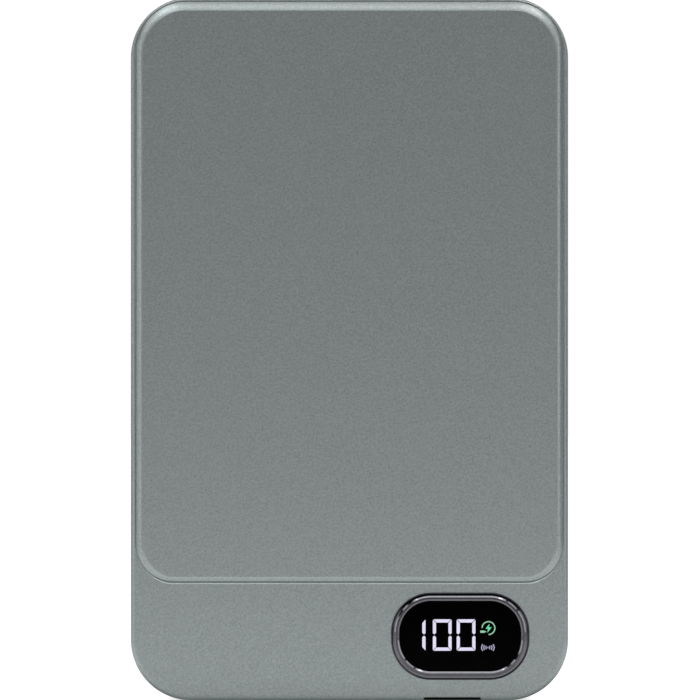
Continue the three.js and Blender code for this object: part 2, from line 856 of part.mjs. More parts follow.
// Coil leads leave through the slot, drop behind the cell and bend in to the board.
function makeLead(x) {
  const high = coilFront + COIL_DEPTH / 2;
  const low = MOUNT_Y + LEAD_RADIUS + TOUCH_GAP;
  const path = new THREE.CatmullRomCurve3([
    new THREE.Vector3(x, high, COIL_Z - COIL_OUTER - LEAD_COIL_GAP),
    new THREE.Vector3(x, high, COIL_Z - CARRIER_RADIUS - OVERCUT),
    new THREE.Vector3(x, high, CELL_BOTTOM + LEAD_BEND_ABOVE),
    new THREE.Vector3(x, (high + low) / 2, BOARD_TOP + LEAD_BEND_MIDDLE),
    new THREE.Vector3(x, low, BOARD_TOP - LEAD_LANDING),
  ]);
  const section = new THREE.Shape().absarc(0, 0, LEAD_RADIUS, 0, 2 * Math.PI);
  return new THREE.ExtrudeGeometry(section, {
    steps: LEAD_STEPS,
    curveSegments: LEAD_SIDES / 2,
    extrudePath: path,
  });
}

add("coil_lead_start", makeLead(-LEAD_SPACING / 2), copper);
add("coil_lead_end", makeLead(LEAD_SPACING / 2), copper);

export default powerBank;
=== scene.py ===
"""Looks of the power bank: fine shells, display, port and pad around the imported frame."""
import math

import bmesh
import bpy
import numpy as np
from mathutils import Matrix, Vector


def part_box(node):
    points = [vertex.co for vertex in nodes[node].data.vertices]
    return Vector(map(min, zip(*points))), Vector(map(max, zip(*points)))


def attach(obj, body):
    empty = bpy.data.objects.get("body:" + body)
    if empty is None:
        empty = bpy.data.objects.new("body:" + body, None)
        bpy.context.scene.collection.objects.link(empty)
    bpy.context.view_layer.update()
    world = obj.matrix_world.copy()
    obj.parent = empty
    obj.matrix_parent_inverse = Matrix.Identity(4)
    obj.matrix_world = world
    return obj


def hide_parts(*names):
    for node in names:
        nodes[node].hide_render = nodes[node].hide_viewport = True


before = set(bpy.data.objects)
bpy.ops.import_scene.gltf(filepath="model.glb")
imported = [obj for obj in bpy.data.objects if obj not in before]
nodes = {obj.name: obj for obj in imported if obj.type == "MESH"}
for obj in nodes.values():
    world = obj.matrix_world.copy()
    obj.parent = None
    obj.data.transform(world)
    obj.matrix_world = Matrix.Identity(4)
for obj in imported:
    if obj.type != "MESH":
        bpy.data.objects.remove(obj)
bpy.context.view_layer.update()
scene = bpy.context.scene

# ---- Sizes, in millimetres unless a name says otherwise ----

MM = 0.001
SIDE_WALL = 1.5
FACE_WALL = 1.2
CORNER_RADIUS = 9.2
PANEL_STEP = 0.55
PANEL_SIDE_INSET = 0.75
PANEL_TOP_INSET = 0.66
STRIP_HEIGHT = 18.21
PANEL_TOP_RADIUS = 7.8
PANEL_BOTTOM_RADIUS = 5.8
POCKET_INSET = 1.9
GAP = 0.15
SEAM_CHAMFER = 0.12
CORNER_STEPS = 24
FILLET_STEPS = 6
OVERCUT = 1.0


def box_mm(node):
    """A node's low and high corners in millimetres."""
    low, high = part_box(node)
    return low / MM, high / MM


shell_low, shell_high = box_mm("front_shell")
WIDTH = shell_high.x - shell_low.x
HEIGHT = shell_high.z - shell_low.z
MIDDLE = (0.0, HEIGHT / 2)
FRONT_Y = shell_low.y
STRIP_Y = FRONT_Y + PANEL_STEP
PARTING_Y = shell_high.y
COVER_Y = box_mm("back_shell")[1].y
PANEL_HEIGHT = HEIGHT - PANEL_TOP_INSET - STRIP_HEIGHT
PANEL_MIDDLE = (0.0, STRIP_HEIGHT + PANEL_HEIGHT / 2)
INNER_FRONT_Y = STRIP_Y + FACE_WALL
INNER_BACK_Y = COVER_Y - FACE_WALL


def middle_of(node, first, second):
    """Middle of a node's box along two axes, in millimetres."""
    low, high = box_mm(node)
    middle = (low + high) / 2
    return getattr(middle, first), getattr(middle, second)


DISPLAY = middle_of("display_bezel", "x", "z")
USB = middle_of("usb_c_shell", "x", "y")
BUTTON = middle_of("power_button", "y", "z")
PAD = middle_of("charging_pad", "x", "z")

# ---- Outlines and skins ----

SAME_POINT = 1e-6


class Outline:
    """Closed outline as points with outward normals, so it can be drawn in or out."""

    def __init__(self, points, normals):
        self.points = np.array(points, float)
        self.normals = np.array(normals, float)

    def drawn(self, inset=0.0):
        inset = np.asarray(inset, float)
        return self.points - self.normals * (inset if inset.ndim == 0 else inset[:, None])

    def distance_to(self, other):
        """Distance from each point to the other outline's nearest stretch."""
        start = other.points
        run = np.roll(start, -1, axis=0) - start
        rel = self.points[:, None, :] - start[None, :, :]
        share = np.clip((rel * run).sum(2) / np.maximum((run * run).sum(1), 1e-12), 0, 1)
        return np.linalg.norm(rel - share[..., None] * run, axis=2).min(1)


def rounded(width, height, top_radius, centre=(0.0, 0.0), bottom_radius=None, steps=CORNER_STEPS):
    """Rounded rectangle; the bottom corners may have a radius of their own."""
    bottom_radius = top_radius if bottom_radius is None else bottom_radius
    corners = [
        (1, -1, bottom_radius, -90),
        (1, 1, top_radius, 0),
        (-1, 1, top_radius, 90),
        (-1, -1, bottom_radius, 180),
    ]
    points, normals = [], []
    for side, level, radius, start in corners:
        across = centre[0] + side * (width / 2 - radius)
        up = centre[1] + level * (height / 2 - radius)
        for step in range(steps + 1):
            angle = math.radians(start + 90 * step / steps)
            normal = (math.cos(angle), math.sin(angle))
            point = (across + radius * normal[0], up + radius * normal[1])
            if not points or math.dist(point, points[-1]) > SAME_POINT:
                points.append(point)
                normals.append(normal)
    if math.dist(points[0], points[-1]) < SAME_POINT:
        points.pop()
        normals.pop()
    return Outline(points, normals)


def circle(radius, centre=(0.0, 0.0), steps=96):
    angles = np.linspace(0, 2 * math.pi, steps, endpoint=False)
    normals = np.stack([np.cos(angles), np.sin(angles)], axis=1)
    return Outline(np.array(centre) + radius * normals, normals)


PLACES = {
    "x": lambda u, v, depth: (depth, u, v),
    "y": lambda u, v, depth: (u, depth, v),
    "z": lambda u, v, depth: (u, v, depth),
}


class Skin:
    """Mesh built from loops that lie across one axis."""

    def __init__(self, axis="y"):
        self.mesh = bmesh.new()
        self.place = PLACES[axis]

    def loop(self, points, depth):
        depths = np.broadcast_to(depth, len(points))
        return [
            self.mesh.verts.new(Vector(self.place(u, v, d)) * MM)
            for (u, v), d in zip(points, depths)
        ]

    def bridge(self, loops, closed=False):
        following = loops[1:] + loops[:1] if closed else loops[1:]
        for near, far in zip(loops, following):
            count = len(near)
            for i in range(count):
                j = (i + 1) % count
                self.mesh.faces.new((near[i], near[j], far[j], far[i]))

    def cap(self, loop):
        self.mesh.faces.new(loop)

    def fill(self, *loops):
        """Flat face between loops, with the inner ones as holes."""
        edges = []
        for loop in loops:
            for a, b in zip(loop, loop[1:] + loop[:1]):
                edge = self.mesh.edges.get((a, b)) or self.mesh.edges.new((a, b))
                edges.append(edge)
        bmesh.ops.triangle_fill(self.mesh, edges=edges, use_beauty=True, use_dissolve=False)

    def finish(self, name):
        bmesh.ops.recalc_face_normals(self.mesh, faces=self.mesh.faces[:])
        data = bpy.data.meshes.new(name)
        self.mesh.to_mesh(data)
        self.mesh.free()
        obj = bpy.data.objects.new(name, data)
        scene.collection.objects.link(obj)
        return obj


def loft(name, rings, axis="y"):
    """Closed solid through (outline points, depth) rings, capped at both ends."""
    skin = Skin(axis)
    loops = [skin.loop(points, depth) for points, depth in rings]
    skin.bridge(loops)
    skin.cap(loops[0])
    skin.cap(loops[-1])
    return skin.finish(name)


def tube(name, rings, axis="y"):
    """Closed ring-shaped solid: the last loop joins the first."""
    skin = Skin(axis)
    skin.bridge([skin.loop(points, depth) for points, depth in rings], closed=True)
    return skin.finish(name)


def fillet(outline, outer, depth, radius, inward, steps=FILLET_STEPS):
    """Rings round an edge, from the side wall (outer inset) onto the face at depth."""
    rings = []
    for step in range(steps + 1):
        angle = 0.5 * math.pi * step / steps
        inset = outer + radius * (1 - math.cos(angle))
        rings.append((outline.drawn(inset), depth + inward * radius * (1 - math.sin(angle))))
    return rings


def join_solid(obj, tools, operation):
    """Adds or cuts closed tools, then removes them."""
    for tool in tools:
        modifier = obj.modifiers.new("cut", "BOOLEAN")
        modifier.operation = operation
        modifier.solver = "EXACT"
        modifier.object = tool
        bpy.context.view_layer.update()
        evaluated = obj.evaluated_get(bpy.context.evaluated_depsgraph_get())
        fresh = bpy.data.meshes.new_from_object(evaluated)
        obj.modifiers.clear()
        obj.data = fresh
        bpy.data.objects.remove(tool)


def smooth(obj, sharp_degrees=32):
    """Smooth shading with crisp creases, weighted so that flat faces stay flat."""
    mesh = bmesh.new()
    mesh.from_mesh(obj.data)
    bmesh.ops.dissolve_degenerate(mesh, dist=1e-8, edges=mesh.edges[:])
    limit = math.radians(sharp_degrees)
    for face in mesh.faces:
        face.smooth = True
    for edge in mesh.edges:
        edge.smooth = not (len(edge.link_faces) == 2 and edge.calc_face_angle(0) > limit)
    mesh.to_mesh(obj.data)
    mesh.free()
    weighted = obj.modifiers.new("weighted_normals", "WEIGHTED_NORMAL")
    weighted.keep_sharp = True
    weighted.weight = 100
    return obj


def paint_with(obj, material):
    obj.data.materials.clear()
    obj.data.materials.append(material)
    return obj


# ---- Materials ----


class Shader:
    """Small helper round a material's node tree."""

    def __init__(self, name):
        self.material = bpy.data.materials.new(name)
        self.material.use_nodes = True
        self.tree = self.material.node_tree
        self.surface = self.tree.nodes["Principled BSDF"]
        self.space = self.tree.nodes.new("ShaderNodeTexCoord").outputs["Object"]

    def node(self, kind, **settings):
        made = self.tree.nodes.new(kind)
        for key, value in settings.items():
            setattr(made, key, value)
        return made

    def link(self, source, target):
        self.tree.links.new(source, target)

    def feed(self, node, inputs):
        """Gives each named input its value, or a link where the value is another node's output."""
        for key, value in inputs:
            if isinstance(value, bpy.types.NodeSocket):
                self.link(value, node.inputs[key])
            else:
                node.inputs[key].default_value = value

    def noise(self, size_mm, detail=2.0, rough=0.5, stretch=None):
        """Noise whose grains measure about size_mm."""
        made = self.node("ShaderNodeTexNoise")
        made.inputs["Scale"].default_value = 1 / (size_mm * MM)
        made.inputs["Detail"].default_value = detail
        made.inputs["Roughness"].default_value = rough
        space = self.space
        if stretch:
            mapping = self.node("ShaderNodeMapping")
            mapping.inputs["Scale"].default_value = stretch
            self.link(space, mapping.inputs["Vector"])
            space = mapping.outputs["Vector"]
        self.link(space, made.inputs["Vector"])
        return made.outputs["Fac"]

    def cells(self, size_mm, feature="F1"):
        made = self.node("ShaderNodeTexVoronoi", feature=feature)
        made.inputs["Scale"].default_value = 1 / (size_mm * MM)
        self.link(self.space, made.inputs["Vector"])
        return made.outputs["Distance"]

    def spread(self, value, low, high, source_low=0.3, source_high=0.7):
        made = self.node("ShaderNodeMapRange")
        made.inputs["From Min"].default_value = source_low
        made.inputs["From Max"].default_value = source_high
        made.inputs["To Min"].default_value = low
        made.inputs["To Max"].default_value = high
        self.link(value, made.inputs["Value"])
        return made.outputs["Result"]

    def blend(self, factor, first, second, mode="MIX"):
        made = self.node("ShaderNodeMix", data_type="RGBA", blend_type=mode)
        self.feed(made, ((0, factor), (6, first), (7, second)))
        return made.outputs[2]

    def add(self, first, second, operation="ADD"):
        """Sum of two values, or what another operation makes of them."""
        made = self.node("ShaderNodeMath", operation=operation)
        self.feed(made, ((0, first), (1, second)))
        return made.outputs[0]

    def bump(self, height, depth_mm, strength=1.0):
        made = self.node("ShaderNodeBump")
        made.inputs["Strength"].default_value = strength
        made.inputs["Distance"].default_value = depth_mm * MM
        self.link(height, made.inputs["Height"])
        if self.surface.inputs["Normal"].links:
            self.link(self.surface.inputs["Normal"].links[0].from_socket, made.inputs["Normal"])
        self.link(made.outputs["Normal"], self.surface.inputs["Normal"])

    def set(self, **values):
        self.feed(self.surface, ((key.replace("_", " "), value) for key, value in values.items()))


def rgb(red, green, blue):
    """Display values from 0 to 255 as a linear colour."""

    def linear(value):
        value /= 255
        return value / 12.92 if value <= 0.04045 else ((value + 0.055) / 1.055) ** 2.4

    return (linear(red), linear(green), linear(blue), 1.0)


def scaled(colour, factor):
    return (*(min(1.0, c * factor) for c in colour[:3]), 1.0)


def metallic_paint(name, colour, metallic=0.58, roughness=0.34):
    """Satin lacquer over fine metal flake."""
    s = Shader(name)
    flake = s.noise(0.28, detail=2, rough=0.6)
    fine = s.noise(0.15, detail=1)
    mottle = s.noise(1.6, detail=3)
    clouds = s.noise(14, detail=2)
    tone = s.blend(s.spread(flake, 0, 1), scaled(colour, 0.74), scaled(colour, 1.26))
    tone = s.blend(s.spread(fine, 0, 0.4), tone, scaled(colour, 1.25))
    warm = (colour[0] * 1.04, colour[1] * 0.985, colour[2], 1.0)
    tone = s.blend(s.spread(mottle, 0.0, 0.3), tone, warm)
    tone = s.blend(s.spread(clouds, 0.0, 0.12), tone, scaled(colour, 1.08))
    s.set(Base_Color=tone, Metallic=metallic)
    s.set(Roughness=s.spread(s.noise(0.4, detail=2), roughness - 0.04, roughness + 0.04))
    s.bump(flake, 0.009, 0.45)
    s.bump(s.noise(1.1, detail=1), 0.004, 0.15)
    return s.material


def dark_chrome(name, colour, roughness=0.12):
    s = Shader(name)
    fine = s.noise(0.5, detail=4, rough=0.6)
    s.set(Base_Color=s.blend(s.spread(fine, 0, 1), scaled(colour, 0.9), scaled(colour, 1.1)))
    s.set(Metallic=1.0, Roughness=s.spread(s.noise(0.3, detail=3), roughness * 0.8, roughness * 1.3))
    s.bump(s.noise(0.12, detail=2), 0.001, 0.2)
    return s.material


def smoked_glass(name):
    s = Shader(name)
    tone = s.blend(s.spread(s.noise(3, detail=2), 0, 1), rgb(0.5, 0.5, 0.8), rgb(1.5, 1.5, 2))
    s.set(Base_Color=tone, Roughness=s.spread(s.noise(1.5, detail=3), 0.03, 0.06))
    s.surface.inputs["Specular IOR Level"].default_value = 0.02
    return s.material


def lit(name, colour, strength=1.0):
    s = Shader(name)
    tone = s.blend(s.spread(s.noise(0.8, detail=2), 0, 1), scaled(colour, 0.96), scaled(colour, 1.02))
    s.set(Base_Color=(0.01, 0.01, 0.01, 1.0), Emission_Color=tone, Roughness=0.4)
    s.surface.inputs["Specular IOR Level"].default_value = 0.1
    s.surface.inputs["Emission Strength"].default_value = strength
    return s.material


def moulded(name, colour, roughness=0.5, grain_mm=0.25, depth_mm=0.006):
    s = Shader(name)
    tone = s.blend(s.spread(s.noise(2.5, detail=4), 0, 1), scaled(colour, 0.9), scaled(colour, 1.08))
    s.set(Base_Color=tone, Roughness=s.spread(s.noise(grain_mm * 2), roughness - 0.06, roughness + 0.06))
    s.bump(s.noise(grain_mm, detail=3), depth_mm, 0.4)
    return s.material


def silicone(name, colour):
    s = Shader(name)
    tone = s.blend(s.spread(s.noise(6, detail=4), 0, 1), scaled(colour, 0.93), scaled(colour, 1.06))
    s.set(Base_Color=tone, Roughness=s.spread(s.noise(0.6, detail=3), 0.62, 0.78))
    s.set(Sheen_Weight=0.25, Sheen_Roughness=0.5)
    s.bump(s.noise(0.14, detail=3, rough=0.6), 0.006, 0.45)
    return s.material


def foam(name, colour):
    s = Shader(name)
    pores = s.cells(0.35)
    # Darker in the pore pits, following the bump: painted shade.
    tone = s.blend(s.spread(pores, 0, 1, 0.0, 0.6), scaled(colour, 0.5), scaled(colour, 1.3))
    s.set(Base_Color=tone, Roughness=0.95)
    s.bump(pores, 0.12, 0.6)
    return s.material


def plain_metal(name, colour, roughness=0.3, brush=(1.0, 1.0, 12.0), grain_mm=0.8):
    s = Shader(name)
    lines = s.noise(grain_mm, detail=4, rough=0.6, stretch=brush)
    s.set(Base_Color=s.blend(s.spread(lines, 0, 1), scaled(colour, 0.85), scaled(colour, 1.1)))
    s.set(Metallic=1.0, Roughness=s.spread(lines, roughness * 0.8, roughness * 1.35))
    s.bump(lines, 0.003, 0.3)
    return s.material


def pouch_foil(name, colour):
    s = Shader(name)
    crinkle = s.noise(4.5, detail=5, rough=0.55)
    tone = s.blend(s.spread(s.noise(9, detail=3), 0, 1), scaled(colour, 0.86), scaled(colour, 1.06))
    s.set(Base_Color=tone, Metallic=0.85, Roughness=s.spread(crinkle, 0.26, 0.42))
    s.bump(crinkle, 0.25, 0.35)
    s.bump(s.noise(0.4, detail=3), 0.01, 0.3)
    return s.material


def solder_mask(name, colour):
    """Green board with darker bare laminate between copper tracks."""
    s = Shader(name)
    tracks = s.node("ShaderNodeTexBrick", offset=0.35, squash=1.0)
    tracks.inputs["Scale"].default_value = 1 / (BOARD_CELL * MM)
    tracks.inputs["Mortar Size"].default_value = 0.035
    tracks.inputs["Color1"].default_value = scaled(colour, 1.0)
    tracks.inputs["Color2"].default_value = scaled(colour, 1.25)
    tracks.inputs["Mortar"].default_value = scaled(colour, 0.55)
    swap = s.node("ShaderNodeMapping")
    swap.inputs["Rotation"].default_value = (math.pi / 2, 0, 0)
    s.link(s.space, swap.inputs["Vector"])
    s.link(swap.outputs["Vector"], tracks.inputs["Vector"])
    wear = s.spread(s.noise(1.2, detail=3), 0.0, 0.35)
    tone = s.blend(wear, tracks.outputs["Color"], scaled(colour, 0.8))
    s.set(Base_Color=tone, Roughness=s.spread(s.noise(0.8, detail=3), 0.28, 0.42))
    s.bump(tracks.outputs["Fac"], 0.03, 0.5)
    return s.material


def amber_film(name, colour):
    s = Shader(name)
    waves = s.noise(7, detail=3)
    s.set(Base_Color=s.blend(s.spread(waves, 0, 1), scaled(colour, 0.8), scaled(colour, 1.15)))
    s.set(Roughness=s.spread(waves, 0.14, 0.26), Coat_Weight=0.4)
    s.bump(waves, 0.12, 0.3)
    return s.material


COIL_TURN = 1.0
BOARD_CELL = 3.2


def wound_copper(name, colour, centre):
    """Turns of enamelled wire as rings round the coil's centre, with painted shade between the turns."""
    s = Shader(name)
    shift = s.node("ShaderNodeVectorMath", operation="SUBTRACT")
    shift.inputs[1].default_value = Vector((centre[0], 0, centre[1])) * MM
    s.link(s.space, shift.inputs[0])
    flatten = s.node("ShaderNodeVectorMath", operation="MULTIPLY")
    flatten.inputs[1].default_value = (1, 0, 1)
    s.link(shift.outputs[0], flatten.inputs[0])
    length = s.node("ShaderNodeVectorMath", operation="LENGTH")
    s.link(flatten.outputs[0], length.inputs[0])
    turns = s.add(length.outputs["Value"], 2 * math.pi / (COIL_TURN * MM), "MULTIPLY")
    wave = s.add(s.add(turns, 0.0, "SINE"), 1.0)
    strands = s.noise(0.25, detail=3)
    height = s.add(wave, s.add(strands, 0.4, "MULTIPLY"))
    # Darker in the valleys between turns and lighter on their crests, following the bump: painted shade and
    # highlight.
    tone = s.blend(s.spread(height, 0, 1, 0.0, 2.0), scaled(colour, 0.45), scaled(colour, 1.15))
    s.set(Base_Color=tone, Metallic=0.85, Roughness=s.spread(strands, 0.28, 0.45), Coat_Weight=0.3)
    s.bump(height, 0.12, 0.7)
    return s.material


CASE_COLOUR = rgb(158, 168, 167)
case_paint = metallic_paint("case_paint", CASE_COLOUR)
button_paint = metallic_paint("button_paint", scaled(CASE_COLOUR, 0.96), roughness=0.3)
chrome = dark_chrome("bezel_chrome", rgb(108, 108, 113), 0.07)
glass = smoked_glass("window_gloss")
port_steel = plain_metal("port_steel", rgb(168, 170, 174), 0.28)
black_plastic = moulded("black_plastic", rgb(22, 22, 24), 0.45)
contact_gold = plain_metal("contact_gold", rgb(214, 172, 96), 0.22)
pad_rubber = silicone("pad_rubber", rgb(78, 84, 84))

# ---- Case ----

case_outline = rounded(WIDTH, HEIGHT, CORNER_RADIUS, MIDDLE)
panel_outline = rounded(
    WIDTH - 2 * PANEL_SIDE_INSET, PANEL_HEIGHT, PANEL_TOP_RADIUS, PANEL_MIDDLE, PANEL_BOTTOM_RADIUS
)
display_low, display_high = box_mm("display_bezel")
BEZEL_FLANGE = 1.0
BEZEL_WIDTH = display_high.x - display_low.x - 2 * BEZEL_FLANGE
BEZEL_HEIGHT = display_high.z - display_low.z - 2 * BEZEL_FLANGE
BEZEL_RADIUS = 6.0
HOLE_FILLET = 0.12
bezel_outline = rounded(BEZEL_WIDTH, BEZEL_HEIGHT, BEZEL_RADIUS, DISPLAY)

RIM_FILLET = 0.75
RIM_SHARE = 0.74
RIM_START = 1.5 * RIM_FILLET
SEAM_TOP = 0.3 * SEAM_CHAMFER
SUPPORT = 0.03
FACE_SUPPORT = 0.05

# Groove round the panel and its bevel, at the sides, the top and the bottom; slopes are in degrees.
CHAMFER_WIDTH = {"side": 0.01, "top": 0.01, "bottom": 0.3}
CHAMFER_SLOPE = 25
GROOVE_OUTSIDE = {"side": 0.03, "top": 0.08, "bottom": 0.08}
GROOVE_SHARE = 0.3
GROOVE_DEPTH = {"side": 0.06, "top": 0.12, "bottom": 0.12}
GROOVE_INSIDE = {"side": 0.15, "top": 0.01, "bottom": 0.02}
GROOVE_TAPER = 0.03
BEVEL_WIDTH = {"side": 1.24, "top": 1.42, "bottom": 0.74}
BEVEL_RISE = {"side": 0.5, "top": 0.55, "bottom": 0.4}
BEVEL_START = {"side": 38, "top": 35, "bottom": 38}
BEVEL_END = {"side": 8, "top": 17, "bottom": 24}
BEVEL_STEPS = 12
TURN = {"top": 0.6, "bottom": 3}
CHAMFER_RISE = math.tan(math.radians(CHAMFER_SLOPE))


def rim_rings(skin):
    """Side wall and rounded rim, from the seam to the strip's flat face."""
    room = case_outline.distance_to(panel_outline)
    radius = np.minimum(RIM_FILLET, RIM_SHARE * room)
    loops = [
        skin.loop(case_outline.drawn(SEAM_CHAMFER), PARTING_Y),
        skin.loop(case_outline.drawn(SEAM_TOP), PARTING_Y - SEAM_TOP),
        skin.loop(case_outline.drawn(0), PARTING_Y - SEAM_CHAMFER),
        skin.loop(case_outline.drawn(0), STRIP_Y + RIM_START),
    ]
    for step in range(FILLET_STEPS + 1):
        angle = 0.5 * math.pi * step / FILLET_STEPS
        inset = radius * (1 - math.cos(angle))
        loops.append(skin.loop(case_outline.drawn(inset), STRIP_Y + radius * (1 - math.sin(angle))))
    loops.append(skin.loop(case_outline.drawn(radius * (1 + SUPPORT)), STRIP_Y))
    return loops


def by_facing(values):
    """The side's value round the panel's outline, turning into the top's or bottom's at its ends."""
    up = np.clip(panel_outline.normals[:, 1], 0, 1) ** TURN["top"]
    down = np.clip(-panel_outline.normals[:, 1], 0, 1) ** TURN["bottom"]
    side = values["side"]
    return side + (values["top"] - side) * up + (values["bottom"] - side) * down


def panel_rings(skin):
    """Groove round the panel and the bevel that rises from it to the panel's face."""
    room = GROOVE_SHARE * panel_outline.distance_to(case_outline)
    outside = np.minimum(by_facing(GROOVE_OUTSIDE), room)
    chamfer = np.minimum(by_facing(CHAMFER_WIDTH), room)
    drop = STRIP_Y + chamfer * CHAMFER_RISE
    inside = by_facing(GROOVE_INSIDE)
    bed = STRIP_Y + by_facing(GROOVE_DEPTH) + by_facing(CHAMFER_WIDTH) * CHAMFER_RISE
    loops = [
        skin.loop(panel_outline.drawn(-outside - chamfer), STRIP_Y),
        skin.loop(panel_outline.drawn(-outside), drop),
        skin.loop(panel_outline.drawn(-outside + GROOVE_TAPER), bed),
        skin.loop(panel_outline.drawn(inside - GROOVE_TAPER), bed),
    ]
    reach = by_facing(BEVEL_WIDTH) - inside
    start, end = np.radians(by_facing(BEVEL_START)), np.radians(by_facing(BEVEL_END))
    rise = by_facing(BEVEL_RISE)
    for step in range(BEVEL_STEPS + 1):
        slope = start + (end - start) * step / BEVEL_STEPS
        across = (np.sin(start) - np.sin(slope)) / (np.sin(start) - np.sin(end))
        up = (np.cos(slope) - np.cos(start)) / (np.cos(end) - np.cos(start))
        ring = panel_outline.drawn(inside + reach * across)
        loops.append(skin.loop(ring, FRONT_Y + rise * (1 - up)))
    return loops


def make_front_shell():
    skin = Skin()
    rim = rim_rings(skin)
    panel = panel_rings(skin)
    hole_rings = fillet(bezel_outline, -GAP, STRIP_Y, -HOLE_FILLET, 1)
    hole_edge = [skin.loop(points, depth) for points, depth in hole_rings]
    hole_edge.append(skin.loop(bezel_outline.drawn(-GAP - HOLE_FILLET - SUPPORT), STRIP_Y))
    hole_back = skin.loop(bezel_outline.drawn(-GAP), INNER_FRONT_Y)
    skin.bridge(rim)
    skin.bridge(panel)
    skin.bridge(hole_edge)
    skin.bridge([hole_edge[0], hole_back])
    skin.fill(rim[-1], panel[0], hole_edge[-1])
    support = skin.loop(panel_outline.drawn(by_facing(BEVEL_WIDTH) + FACE_SUPPORT), FRONT_Y)
    skin.bridge([panel[-1], support])
    skin.cap(support)

    inner = case_outline.drawn(SIDE_WALL)
    seam = skin.loop(inner, PARTING_Y)
    floor = skin.loop(inner, INNER_FRONT_Y)
    pocket = panel_outline.drawn(POCKET_INSET)
    pocket_edge = skin.loop(pocket, INNER_FRONT_Y)
    pocket_floor = skin.loop(pocket, FRONT_Y + FACE_WALL)
    skin.bridge([rim[0], seam, floor])
    skin.fill(floor, pocket_edge, hole_back)
    skin.bridge([pocket_edge, pocket_floor])
    skin.cap(pocket_floor)
    return skin.finish("front_shell_skin")


def flared(name, outline, axis, face, inward, depth, radius):
    """Tool that cuts a hole with a rounded mouth. inward is +1 where the hole runs up the axis."""
    rings = [(outline.drawn(-radius), face - inward * OVERCUT)]
    for step in range(FILLET_STEPS + 1):
        angle = 0.5 * math.pi * step / FILLET_STEPS
        ring = outline.drawn(-radius * (1 - math.sin(angle)))
        rings.append((ring, face + inward * radius * (1 - math.cos(angle))))
    rings.append((outline.drawn(0), face + inward * depth))
    return loft(name, rings, axis)


usb_low, usb_high = box_mm("usb_c_shell")
USB_WIDTH = usb_high.x - usb_low.x
USB_THICKNESS = usb_high.y - usb_low.y
USB_HOLE_GAP = 0.2
USB_MOUTH = 0.18
BUTTON_LENGTH = 8.0
BUTTON_THICKNESS = 2.6
BUTTON_HOLE_GAP = 0.12
BUTTON_MOUTH = 0.12
HOLE_DEPTH = SIDE_WALL + 0.6


def usb_outline(grow=0.0):
    return rounded(USB_WIDTH + 2 * grow, USB_THICKNESS + 2 * grow, USB_THICKNESS / 2 + grow, USB)


def button_outline(grow=0.0):
    return rounded(
        BUTTON_THICKNESS + 2 * grow, BUTTON_LENGTH + 2 * grow, BUTTON_THICKNESS / 2 + grow, BUTTON
    )


front_shell = make_front_shell()
NOTCH_WIDTH = 8.65
NOTCH_HEIGHT = 0.4
NOTCH_RADIUS = 0.15
NOTCH_FLARE = 0.1
NOTCH_FLARE_DEPTH = 0.6
notch = rounded(NOTCH_WIDTH, 2 * NOTCH_HEIGHT, NOTCH_RADIUS, (USB[0], 0.0), steps=4)
notch_rings = [
    (notch.drawn(-NOTCH_FLARE), STRIP_Y - OVERCUT),
    (notch.drawn(-NOTCH_FLARE), STRIP_Y),
    (notch.drawn(0), STRIP_Y + NOTCH_FLARE_DEPTH),
    (notch.drawn(0), USB[1]),
]
button_hole = button_outline(BUTTON_HOLE_GAP)
join_solid(front_shell, [
    loft("notch_tool", notch_rings),
    flared("usb_tool", usb_outline(USB_HOLE_GAP), "z", 0.0, 1, HOLE_DEPTH, USB_MOUTH),
    flared("button_tool", button_hole, "x", WIDTH / 2, -1, HOLE_DEPTH, BUTTON_MOUTH),
], "DIFFERENCE")
smooth(front_shell, 20)
paint_with(front_shell, case_paint)
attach(front_shell, "case")
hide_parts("front_shell")

BACK_EDGE = 2.0
BACK_EDGE_STEPS = 14
RECESS_EDGE = 0.15
pad_low, pad_high = box_mm("charging_pad")
PAD_RADIUS = (pad_high.x - pad_low.x) / 2


def make_back_shell():
    skin = Skin()
    loops = [
        skin.loop(case_outline.drawn(SEAM_CHAMFER), PARTING_Y),
        skin.loop(case_outline.drawn(SEAM_TOP), PARTING_Y + SEAM_TOP),
        skin.loop(case_outline.drawn(0), PARTING_Y + SEAM_CHAMFER),
    ]
    back_edge = fillet(case_outline, 0, COVER_Y, BACK_EDGE, -1, BACK_EDGE_STEPS)
    loops += [skin.loop(points, depth) for points, depth in back_edge]
    skin.bridge(loops)
    recess = circle(PAD_RADIUS + GAP, PAD)
    recess_edge = fillet(recess, 0, COVER_Y, -RECESS_EDGE, -1)
    edge = [skin.loop(points, depth) for points, depth in recess_edge]
    recess_floor = skin.loop(recess.drawn(0), pad_low.y)
    skin.bridge(edge)
    skin.bridge([edge[0], recess_floor])
    skin.cap(recess_floor)
    skin.fill(loops[-1], edge[-1])
    inner = case_outline.drawn(SIDE_WALL)
    seam = skin.loop(inner, PARTING_Y)
    inside = skin.loop(inner, INNER_BACK_Y)
    skin.bridge([loops[0], seam, inside])
    skin.cap(inside)
    return skin.finish("back_shell_skin")


back_shell = make_back_shell()
smooth(back_shell)
paint_with(back_shell, case_paint)
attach(back_shell, "case")
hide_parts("back_shell")

# ---- Charging pad ----

PAD_CHAMFER = 0.1
PAD_EDGE = 0.22
PAD_GROOVE = 3.2
PAD_GROOVE_PROFILE = [(0.0, 0.0), (0.12, 0.03), (0.3, 0.14), (0.5, 0.14), (0.68, 0.03), (0.8, 0.0)]


def make_pad():
    outline = circle(PAD_RADIUS, PAD)
    rings = [(outline.drawn(PAD_CHAMFER), pad_low.y), (outline.drawn(0), pad_low.y + PAD_CHAMFER)]
    rings += fillet(outline, 0, pad_high.y, PAD_EDGE, -1)
    for offset, drop in PAD_GROOVE_PROFILE:
        rings.append((outline.drawn(PAD_GROOVE + offset), pad_high.y - drop))
    return loft("charging_pad_skin", rings)


charging_pad = smooth(make_pad(), 40)
paint_with(charging_pad, pad_rubber)
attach(charging_pad, "case")
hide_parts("charging_pad")

# ---- Display ----

